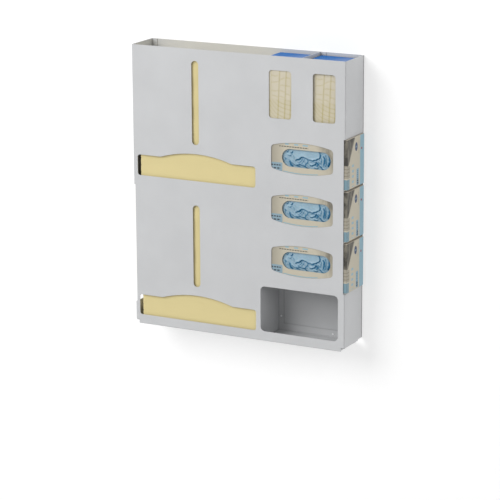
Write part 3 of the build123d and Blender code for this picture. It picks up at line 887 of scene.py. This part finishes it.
def glove_relief(x, z, seed, depth):
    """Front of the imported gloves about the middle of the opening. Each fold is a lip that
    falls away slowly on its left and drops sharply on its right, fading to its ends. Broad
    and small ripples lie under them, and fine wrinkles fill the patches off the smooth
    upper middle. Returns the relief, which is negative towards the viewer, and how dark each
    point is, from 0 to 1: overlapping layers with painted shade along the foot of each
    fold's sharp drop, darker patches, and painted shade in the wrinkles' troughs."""
    chance = np.random.default_rng(seed)
    bent_x = x + 2.2 * MM * ripples(x, z, 41, 13 * MM)
    bent_z = z + 2.2 * MM * ripples(x, z, 42, 12 * MM)
    height = 0.5 * ripples(x, z, seed, 38 * MM) + 0.1 * ripples(x, z, seed + 10, 9 * MM)
    overlap_and_crease_shade = np.zeros_like(x)
    for stops, rise, width in GLOVE_FOLDS:
        run = curve_through((np.array(stops) + chance.uniform(-0.5, 0.5, 2)) * MM)
        side, along = side_of(run, bent_x, bent_z)
        fade = np.clip(np.sin(math.pi * along), 0, 1) ** 0.35
        slope = np.where(side > 0, side / (3.4 * MM), (side / (0.6 * MM)) ** 2)
        height += rise * fade * np.exp(-slope)
        # Overlapping layers, with painted shade, along the foot of the sharp drop
        groove = np.exp(-(((side + 0.9 * MM) / (1.6 * width * MM)) ** 2))
        overlap_and_crease_shade = np.maximum(overlap_and_crease_shade, 1.3 * rise * fade * groove)
    wrinkle = ripples(x, z, 7, 6 * MM, 5, 1.1, 1.2)
    smooth = np.exp(-(((x + 2 * MM) / (34 * MM)) ** 4) - ((z - 14 * MM) / (13 * MM)) ** 4)
    patch = (1 - smooth) * (0.5 + 0.5 * np.clip(2.5 * ripples(x, z, 9, 24 * MM), -1, 1))
    height += 0.18 * wrinkle * patch
    # Darker patches, with painted shade in the wrinkles' troughs
    overlap_and_crease_shade = 1.15 * overlap_and_crease_shade + patch * (0.12 + 0.9 * np.clip(-wrinkle, 0, 1))
    return -depth * (height - 0.2), np.clip(overlap_and_crease_shade, 0, 1)


class DISPENSER_OT_mask_cartons(bpy.types.Operator):
    """Build the upright blue mask cartons"""

    bl_idname = "dispenser.mask_cartons"
    bl_label = "Mask cartons"

    def execute(self, context):
        settings = context.scene.dispenser_mask
        low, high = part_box("mask_carton_1")
        flap = plain_board("mask_carton_side", settings.flap, 0.5)
        materials = (flap, flap, blue_top(settings, high - low))
        hole = (settings.opening_width, settings.opening_height, 6 * MM)
        for bay in MASK_BAYS:
            node = f"mask_carton_{bay}"
            low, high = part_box(node)
            sill = low.z + settings.opening_sill
            middle = np.array([(low.x + high.x) / 2, sill + settings.opening_height / 2])
            rings = carton_rings(low, high, settings.thickness, settings.edge, hole, middle)
            surface = lofted(rings)
            piece = make_piece(f"printed_{node}", surface, materials, (node,))
            lay_print(piece, low)
        return {"FINISHED"}


# Middle of each mask window, across and up, in metres
MASK_WINDOWS = ((0.1203, 0.2004), (0.2394, 0.2004))

# Grid columns and rows of a stack of masks
MASK_GRID = (190, 330)


class DISPENSER_OT_masks(bpy.types.Operator):
    """Build the pleated masks that show in the mask windows"""

    bl_idname = "dispenser.masks"
    bl_label = "Masks"

    def execute(self, context):
        settings = context.scene.dispenser_mask
        cloth = non_woven("mask_cloth", settings.cloth, settings.pleat_and_crease_shade, "pleat_and_crease_shade")
        for bay, (across, up) in zip(MASK_BAYS, MASK_WINDOWS):
            node = f"mask_stack_{bay}"
            low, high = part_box(node)

            def relief(x, z):
                to_side = settings.opening_width / 2 - abs(x - (low.x + high.x) / 2)
                to_sill = z - low.z - settings.opening_sill
                to_top = settings.opening_height - to_sill
                inward = np.minimum.reduce([to_side, to_sill, to_top]) / (6 * MM)
                bulge = settings.bulge * np.sin(np.clip(inward, 0, 1) * math.pi / 2)
                height, pleat_and_crease_shade = mask_relief(x - across, z - up, bay, settings.pleat_step)
                return height - bulge, pleat_and_crease_shade

            surface, pleat_and_crease_shade = front_block(low, high, relief, *MASK_GRID, 4 * MM)
            piece = make_piece(
                f"pleated_masks_{bay}", surface, (cloth,), (node,), 60.0
            )
            store(piece, "pleat_and_crease_shade", pleat_and_crease_shade)
        return {"FINISHED"}


# Pleat edges across a mask, in millimetres from its window's middle: place and strength
MASK_PLEATS = ((-42, 1.0), (-27, 0.5), (-5, 1.0), (13, 1.0), (28, 0.9), (41, 0.8))

# Creases between the pleats, in millimetres from the window's middle
MASK_CREASES = (
    ((-26, 47), (-14, 45), (-5, 47)),
    ((-26, 29), (-14, 30), (-3, 33)),
    ((-26, 9), (-15, 8), (-4, 10)),
    ((-25, -3), (-15, -4), (-5, -7)),
    ((-3, 35), (6, 40), (13, 43)),
    ((-2, 22), (5, 24), (13, 23)),
    ((-3, 10), (5, 9), (13, 7)),
    ((-4, -4), (4, -5), (12, -8)),
    ((14, 43), (20, 43), (28, 41)),
    ((13, 24), (20, 22), (27, 23)),
    ((13, 3), (20, 2), (27, 0)),
)


def mask_relief(x, z, seed, step):
    """Front of a mask that stands on its end: upright pleats, each a sheet that rises to its
    folded edge and drops to the next, with creases between them. Above, each crease is a
    run of its own; below, they repeat and sag to the right, most in the left column.
    Returns relief, negative towards the viewer, and a tone from 0 to 1: yellower cloth near
    the folded edges, painted shade in the creases, and darker cloth towards the bottom."""
    lean = 0.045 * z
    height = 0.35 * ripples(x, z, seed + 7, 50 * MM)
    near = np.zeros_like(x)
    for edge, strength in MASK_PLEATS:
        gap = x - edge * MM - lean
        fold = np.where(gap < 0, np.exp(gap / (8 * MM)), np.exp(-((gap / (0.6 * MM)) ** 2)))
        height += strength * fold
        near = np.maximum(near, strength * np.exp(-(((gap - 0.3 * MM) / (1.8 * MM)) ** 2)))
    crease = np.zeros_like(x)
    for stops in MASK_CREASES:
        side, along = side_of(curve_through(np.array(stops) * MM, 30), x, z)
        fade = np.clip(np.sin(math.pi * along), 0, 1) ** 0.4
        crease = np.maximum(crease, fade * np.exp(-((side / (1.8 * MM)) ** 2)))
    sag = np.interp(x, (-27 * MM, -5 * MM, 13 * MM, 28 * MM), (0.8, 0.45, 0.3, 0.2))
    phase = z + sag * x + 2.0 * MM * ripples(x, z, seed, 45 * MM)
    lower = np.clip(-(z + 8 * MM) / (8 * MM), 0, 1)
    run = (0.5 + 0.5 * np.sin(phase * 2 * math.pi / (11 * MM))) ** 6
    crease = np.maximum(crease, lower * run * (0.85 + 0.4 * ripples(x, z, seed + 3, 30 * MM)))
    fine = np.sin(phase * 2 * math.pi / (3.7 * MM)) * ripples(x, z, seed + 5, 20 * MM)
    height += 0.15 * fine - 0.8 * crease
    # The tone paints shade into the creases and darkens the cloth towards the bottom
    return -step * (height - 0.3), np.clip(0.66 * near + 0.5 * crease + 0.2 * lower, 0, 1)


class DISPENSER_OT_gowns(bpy.types.Operator):
    """Build the stacks of folded gowns"""

    bl_idname = "dispenser.gowns"
    bl_label = "Gown stacks"

    def execute(self, context):
        settings = context.scene.dispenser_gown
        # Painted shade in the seams between gowns at the stack's ends
        shade = tinted(settings.cloth, 0.9)
        cloth = non_woven("gown_cloth", settings.cloth, shade, "seam_shade", 1.4 * MM)
        for level in GOWN_LEVELS:
            node = f"gown_stack_{level}"
            low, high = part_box(node)
            rings, seam_shade = gown_rings(low, high, settings, level)
            piece = make_piece(
                f"folded_gowns_{level}", lofted(rings), (cloth,), (node,), 60.0
            )
            store(piece, "seam_shade", seam_shade)
        return {"FINISHED"}


def perimeter(half_x, half_y, radius, count):
    """Rounded rectangle in plan, evenly spaced along its length, with its outward normals."""
    corners = ring(half_x, half_y, radius, 12)
    closed = np.vstack([corners, corners[:1]])
    gone = np.concatenate([[0], np.cumsum(np.linalg.norm(np.diff(closed, axis=0), axis=1))])
    at = np.linspace(0, gone[-1], count, endpoint=False)
    x = np.interp(at, gone, closed[:, 0])
    y = np.interp(at, gone, closed[:, 1])
    run = np.stack([np.roll(x, -1) - np.roll(x, 1), np.roll(y, -1) - np.roll(y, 1)], axis=1)
    run /= np.linalg.norm(run, axis=1, keepdims=True)
    return np.stack([x, y], axis=1), np.stack([run[:, 1], -run[:, 0]], axis=1)


def gown_rings(low, high, settings, seed, around=400, levels=230):
    """Stack of folded gowns: one plan outline carried up, drawn in where each two gowns meet,
    deeply at the ends and hardly at the front, with broad soft waves that die out at the
    front corners. The same outline closes the top over a small quarter circle and then
    shrinks to its middle. Returns the rings and, for the painted shade there, how near the
    seams at the ends each point lies."""
    middle = np.array([(low.x + high.x) / 2, (low.y + high.y) / 2])
    half = ((high.x - low.x) / 2, (high.y - low.y) / 2)
    plan, normal = perimeter(*half, settings.corner, around)
    rounding = 5 * MM
    z = np.linspace(0, high.z - low.z - rounding, levels)
    u, height = np.meshgrid(np.arange(around), z)
    across = plan[u, 0]
    end_share = np.abs(normal[:, 0])[u] ** 2
    steady = np.clip((half[0] - np.abs(across)) / (30 * MM), 0, 1)
    uneven = 0.16 * np.sin(height * 47.0 + seed)
    groove = np.abs(np.cos(math.pi * (height / settings.gown_height + uneven))) ** 14
    wave = ripples(across, height, seed, 160 * MM)
    wave += 0.3 * ripples(across, height, seed + 4, 50 * MM)
    swell = 0.8 * MM * (1 - wave) * np.maximum(end_share * 0.6, 0.4 * steady)
    sway = 0.4 * MM * steady * (1 - np.cos(2 * math.pi * (height - 20 * MM) / (70 * MM)))
    inset = settings.groove * groove * end_share + swell + sway
    spots = plan[u] - normal[u] * inset[..., None] + middle
    rings = np.concatenate([spots, (low.z + height)[..., None]], axis=2)
    top = rings[-1]
    lids = []
    for turn in np.linspace(0, math.pi / 2, 6)[1:]:
        inward = top[:, :2] - normal * rounding * (1 - math.cos(turn))
        lids.append(np.insert(inward, 2, top[0, 2] + rounding * math.sin(turn), axis=1))
    rim = lids[-1][:, :2] - middle
    for share in (0.99, 0.9, 0.65, 0.35):
        lids.append(np.insert(rim * share + middle, 2, high.z, axis=1))
    seam_shade = np.zeros((levels + len(lids), around))
    seam_shade[:levels] = groove * end_share
    return np.concatenate([rings, np.array(lids)]), seam_shade


class DISPENSER_OT_stage(bpy.types.Operator):
    """Set up the wall, floor, lamps, room and camera"""

    bl_idname = "dispenser.stage"
    bl_label = "Studio"

    def execute(self, context):
        settings = context.scene.dispenser_stage
        make_camera(context.scene, settings)
        make_room(context.scene, settings)
        ground = CAD_BOX[0].z - settings.floor_drop
        corner = (-FLOOR_SIDE / 2, -FLOOR_SIDE / 2, ground)
        floor = quad("floor", corner, (FLOOR_SIDE, 0, 0), (0, FLOOR_SIDE, 0))
        floor.data.materials.append(backdrop("floor_paint", FLOOR_PAINT, 0.0, one_sided=False))
        corner = (-WALL_WIDTH / 2, WALL_GAP, ground)
        wall = quad("wall", corner, (WALL_WIDTH, 0, 0), (0, 0, WALL_HEIGHT))
        paint = backdrop("wall_paint", WALL_PAINT, settings.glow, one_sided=True)
        wall.data.materials.append(paint)
        make_lamp(context.scene, "key", KEY_PLACE, settings.key_size, settings.key)
        make_lamp(context.scene, "fill", FILL_PLACE, FILL_SIZE, settings.fill)
        return {"FINISHED"}


def quad(name, corner, along, up):
    """Flat rectangle that faces along x up."""
    corner, along, up = (np.array(part, float) for part in (corner, along, up))
    points = [corner, corner + along, corner + along + up, corner + up]
    mesh = bpy.data.meshes.new(name)
    mesh.from_pydata([point.tolist() for point in points], [], [(0, 1, 2, 3)])
    made = bpy.data.objects.new(name, mesh)
    bpy.context.scene.collection.objects.link(made)
    return made


def backdrop(name, paint, glow, one_sided):
    """White paint with a little light of its own, so that it is white where no shadow
    falls. A one-sided one is clear from behind."""
    shader = Shader(name)
    tree = shader.tree
    tree.nodes.remove(shader.surface)
    grain = shader.noise(shader.place(), 40.0, 3.0)
    white = (paint,) * 3
    tone = shader.mix(shader.span(grain, 0.3, 0.7), white, tinted(white, 0.99))
    matt = shader.add("ShaderNodeBsdfDiffuse", {"Color": tone})
    light = shader.add("ShaderNodeEmission", {"Strength": glow})
    both = shader.add("ShaderNodeAddShader")
    tree.links.new(matt.outputs[0], both.inputs[0])
    tree.links.new(light.outputs[0], both.inputs[1])
    result = both.outputs[0]
    if one_sided:
        clear = shader.add("ShaderNodeBsdfTransparent")
        behind = shader.add("ShaderNodeNewGeometry").outputs["Backfacing"]
        choice = shader.add("ShaderNodeMixShader", {0: behind})
        tree.links.new(result, choice.inputs[1])
        tree.links.new(clear.outputs[0], choice.inputs[2])
        result = choice.outputs[0]
    tree.links.new(result, tree.nodes["Material Output"].inputs["Surface"])
    return shader.material


def make_room(scene, settings):
    """Even white room: plain strength for the light it gives, and white where it is seen."""
    world = bpy.data.worlds.new("room")
    world.use_nodes = True
    tree = world.node_tree
    path = tree.nodes.new("ShaderNodeLightPath").outputs
    seen = path["Is Camera Ray"]
    for other in ("Is Glossy Ray", "Is Transmission Ray"):
        either = tree.nodes.new("ShaderNodeMath")
        either.operation = "MAXIMUM"
        tree.links.new(seen, either.inputs[0])
        tree.links.new(path[other], either.inputs[1])
        seen = either.outputs[0]
    strength = tree.nodes.new("ShaderNodeMapRange")
    strength.inputs["To Min"].default_value = settings.ambient
    strength.inputs["To Max"].default_value = 1.0
    tree.links.new(seen, strength.inputs["Value"])
    background = tree.nodes["Background"]
    background.inputs["Color"].default_value = (1.0, 1.0, 1.0, 1.0)
    tree.links.new(strength.outputs[0], background.inputs["Strength"])
    scene.world = world


def make_lamp(scene, name, place, size, power):
    """Square soft box at a place, turned to the dispenser."""
    lamp = bpy.data.lights.new(name, "AREA")
    lamp.energy = power
    lamp.size = size
    made = bpy.data.objects.new(name, lamp)
    made.location = place
    made.rotation_euler = (-Vector(place)).to_track_quat("-Z", "Y").to_euler()
    scene.collection.objects.link(made)


def make_camera(scene, settings):
    """Camera on a sphere about its target, rolled a little."""
    turn, rise, roll = (
        math.radians(part) for part in (settings.azimuth, settings.elevation, settings.roll)
    )
    back = Vector(
        (math.sin(turn) * math.cos(rise), -math.cos(turn) * math.cos(rise), math.sin(rise))
    )
    right = (-back).cross(Vector((0, 0, 1))).normalized()
    up = right.cross(-back)
    side = right * math.cos(roll) + up * math.sin(roll)
    top = up * math.cos(roll) - right * math.sin(roll)
    spot = Vector(settings.target) + back * settings.distance
    lens = bpy.data.cameras.new("camera")
    lens.lens = settings.lens
    lens.sensor_width = SENSOR
    lens.clip_end = 50.0
    made = bpy.data.objects.new("camera", lens)
    turned = Matrix((side, top, back)).transposed().to_4x4()
    made.matrix_world = Matrix.Translation(spot) @ turned
    scene.collection.objects.link(made)
    scene.camera = made
    scene.view_settings.view_transform = "Standard"


OPERATORS = (
    DISPENSER_OT_steel,
    DISPENSER_OT_glove_cartons,
    DISPENSER_OT_gloves,
    DISPENSER_OT_mask_cartons,
    DISPENSER_OT_masks,
    DISPENSER_OT_gowns,
    DISPENSER_OT_stage,
)


class DISPENSER_PT_panel(bpy.types.Panel):
    """Lists the dispenser's pieces and their settings"""

    bl_label = "Wall Dispenser"
    bl_idname = "DISPENSER_PT_panel"
    bl_space_type = "VIEW_3D"
    bl_region_type = "UI"
    bl_category = "Dispenser"

    def draw(self, context):
        layout = self.layout
        for operator in OPERATORS:
            layout.operator(operator.bl_idname)
        for group, kind in SETTINGS.items():
            box = layout.box()
            for field in kind.__annotations__:
                box.prop(getattr(context.scene, group), field)


def register():
    for kind in (*SETTINGS.values(), *OPERATORS, DISPENSER_PT_panel):
        bpy.utils.register_class(kind)
    for group, kind in SETTINGS.items():
        setattr(bpy.types.Scene, group, PointerProperty(type=kind))


def unregister():
    for group in SETTINGS:
        delattr(bpy.types.Scene, group)
    for kind in reversed((*SETTINGS.values(), *OPERATORS, DISPENSER_PT_panel)):
        bpy.utils.unregister_class(kind)


def main():
    register()
    bpy.ops.dispenser.steel()
    bpy.ops.dispenser.glove_cartons()
    bpy.ops.dispenser.gloves()
    bpy.ops.dispenser.mask_cartons()
    bpy.ops.dispenser.masks()
    bpy.ops.dispenser.gowns()
    bpy.ops.dispenser.stage()


if __name__ == "__main__":
    main()
